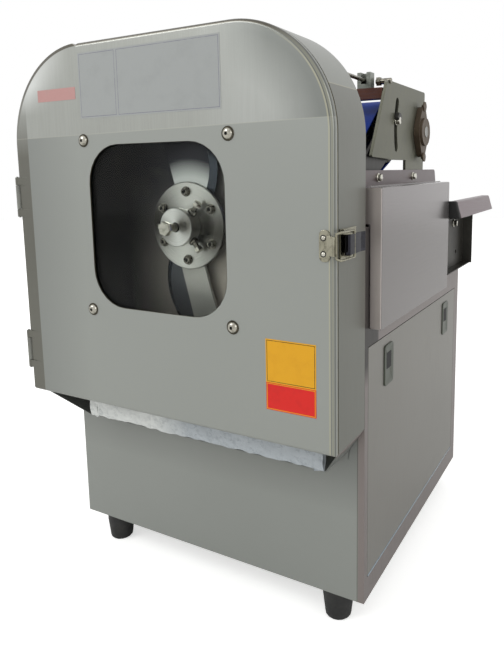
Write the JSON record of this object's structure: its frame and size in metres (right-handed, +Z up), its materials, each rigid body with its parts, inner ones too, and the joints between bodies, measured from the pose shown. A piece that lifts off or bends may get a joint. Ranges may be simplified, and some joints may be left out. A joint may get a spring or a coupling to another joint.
{
  "type": "vegetable cutting machine",
  "caption": "Belt-fed vegetable cutter: sheet-steel cabinet with an arched cutting head, windowed door, sickle blades on a spindle, feed conveyor and sprung press belt.",
  "frame": {"origin": "on the ground, in the middle of the machine's box", "axes": "+Z up, +X to the right seen from the door, +Y from the door to the back"},
  "size_m": [0.501, 0.616, 0.688],
  "materials": {
    "stainless": "fine vertical brushing, satin",
    "machined": "turned and ground steel",
    "fastener": "bright plated steel",
    "blade": "ground blade steel",
    "rubber": "matte black rubber",
    "white_belt": "smooth food-grade belt",
    "blue_belt": "smooth food-grade belt",
    "pane": "clear polycarbonate",
    "film": "crinkled wrapping film",
    "seal": "soft strip",
    "motor_paint": "grey machine paint",
    "pale_plastic": "moulded plastic",
    "green_plastic": "moulded plastic",
    "red_plastic": "moulded plastic"
  },
  "bodies": {
    "cabinet": {"cabinet_shell": "stainless", "deck_left": "stainless", "drive_cover": "stainless", "foot_front_left": "rubber", "foot_front_right": "rubber", "foot_back_left": "rubber", "foot_back_right": "rubber", "rear_panel": "stainless", "cutter_housing": "stainless", "discharge_chute": "stainless", "chute_film": "film", "lower_hinge": "fastener", "upper_hinge": "fastener", "latch_base": "fastener", "side_cover": "stainless", "tray_bracket_left": "stainless", "tray_bracket_right": "stainless", "tray_rail_left": "stainless", "tray_rail_right": "stainless", "bearing_cartridge": "machined", "motor": "motor_paint", "v_belt": "rubber", "conveyor_frame": "stainless", "feed_belt": "white_belt", "feed_gearmotor": "motor_paint", "feed_chain": "machined", "press_chain": "machined", "press_plate_left": "machined", "press_plate_right": "machined", "press_bearing_left": "motor_paint", "press_bearing_right": "motor_paint", "press_cross_bar": "stainless", "control_plate": "pale_plastic"},
    "door": {"door_panel": "stainless", "door_seal": "seal", "window_pane": "pane", "latch_keeper": "fastener"},
    "latch_lever": {"latch_lever": "fastener"},
    "latch_bail": {"latch_bail": "fastener"},
    "left_panel": {"left_panel": "stainless"},
    "right_panel": {"right_panel": "stainless"},
    "cutter": {"cutter_shaft": "machined", "hub_flange": "machined", "nose_collar": "machined", "nose_bolt": "fastener", "upper_blade": "blade", "lower_blade": "blade", "spindle_pulley": "machined"},
    "motor_pulley": {"motor_pulley": "machined"},
    "feed_drive": {"feed_drive_roller": "machined"},
    "feed_tail": {"feed_tail_roller": "machined"},
    "gearmotor_shaft": {"gearmotor_shaft": "machined"},
    "press_arms": {"press_arms": "machined", "press_belt": "blue_belt"},
    "pivot_shaft": {"pivot_shaft": "machined"},
    "press_drive": {"press_drive_roller": "machined"},
    "press_front": {"press_front_roller": "machined"},
    "lift_lever": {"lift_lever": "fastener"},
    "start_button": {"start_button": "green_plastic"},
    "stop_button": {"stop_button": "red_plastic"}
  },
  "joints": [
    {"name": "door_swing", "type": "hinge", "parent": "cabinet", "child": "door", "pos_m": [-0.2235, -0.304, 0.254], "axis": [0, 0, -1], "range_deg": [0, 110]},
    {"name": "latch_lever_swing", "type": "hinge", "parent": "cabinet", "child": "latch_lever", "pos_m": [0.2265, -0.286, 0.467], "axis": [0, 0, -1], "range_deg": [0, 150]},
    {"name": "latch_bail_swing", "type": "hinge", "parent": "latch_lever", "child": "latch_bail", "pos_m": [0.228, -0.274, 0.467], "axis": [0, 0, -1], "range_deg": [-150, 0]},
    {"name": "left_panel_slide", "type": "slide", "parent": "cabinet", "child": "left_panel", "axis": [-1, 0, 0], "range_m": [0, 0.1]},
    {"name": "right_panel_slide", "type": "slide", "parent": "cabinet", "child": "right_panel", "axis": [1, 0, 0], "range_m": [0, 0.1]},
    {"name": "cutter_spin", "type": "hinge", "parent": "cabinet", "child": "cutter", "pos_m": [0, -0.2397, 0.475], "axis": [0, 1, 0], "continuous": true},
    {"name": "motor_spin", "type": "hinge", "parent": "cabinet", "child": "motor_pulley", "pos_m": [0, -0.042, 0.152], "axis": [0, 1, 0], "continuous": true},
    {"name": "feed_drive_spin", "type": "hinge", "parent": "cabinet", "child": "feed_drive", "pos_m": [0.12, -0.192, 0.45], "axis": [1, 0, 0], "continuous": true},
    {"name": "feed_tail_spin", "type": "hinge", "parent": "cabinet", "child": "feed_tail", "pos_m": [0.12, 0.276, 0.45], "axis": [1, 0, 0], "continuous": true},
    {"name": "gearmotor_spin", "type": "hinge", "parent": "cabinet", "child": "gearmotor_shaft", "pos_m": [0.19, -0.042, 0.37], "axis": [1, 0, 0], "continuous": true},
    {"name": "press_arm_lift", "type": "hinge", "parent": "cabinet", "child": "press_arms", "pos_m": [0.12, 0.063, 0.592], "axis": [-1, 0, 0], "range_deg": [0, 9]},
    {"name": "pivot_shaft_spin", "type": "hinge", "parent": "press_arms", "child": "pivot_shaft", "pos_m": [0.12, 0.063, 0.592], "axis": [1, 0, 0], "continuous": true},
    {"name": "press_drive_spin", "type": "hinge", "parent": "press_arms", "child": "press_drive", "pos_m": [0.12, -0.018, 0.588], "axis": [1, 0, 0], "continuous": true},
    {"name": "press_front_spin", "type": "hinge", "parent": "press_arms", "child": "press_front", "pos_m": [0.12, -0.176, 0.5], "axis": [1, 0, 0], "continuous": true},
    {"name": "lift_lever_swing", "type": "hinge", "parent": "cabinet", "child": "lift_lever", "pos_m": [0.159, -0.072, 0.651], "axis": [-1, 0, 0], "range_deg": [0, 60]},
    {"name": "start_button_press", "type": "slide", "parent": "cabinet", "child": "start_button", "axis": [1, 0, 0], "range_m": [0, 0.004], "stiffness_N_per_m": 300, "springref_m": -0.002},
    {"name": "stop_button_press", "type": "slide", "parent": "cabinet", "child": "stop_button", "axis": [1, 0, 0], "range_m": [0, 0.004], "stiffness_N_per_m": 300, "springref_m": -0.002}
  ],
  "couplings": [
    {"joint": "motor_spin", "follows": "cutter_spin", "ratio": 1.3846},
    {"joint": "latch_bail_swing", "follows": "latch_lever_swing", "ratio": -1},
    {"joint": "feed_drive_spin", "follows": "press_drive_spin", "ratio": -2},
    {"joint": "feed_tail_spin", "follows": "press_drive_spin", "ratio": -2},
    {"joint": "gearmotor_spin", "follows": "press_drive_spin", "ratio": -2},
    {"joint": "pivot_shaft_spin", "follows": "press_drive_spin", "ratio": -1},
    {"joint": "press_front_spin", "follows": "press_drive_spin", "ratio": 2.4118}
  ]
}
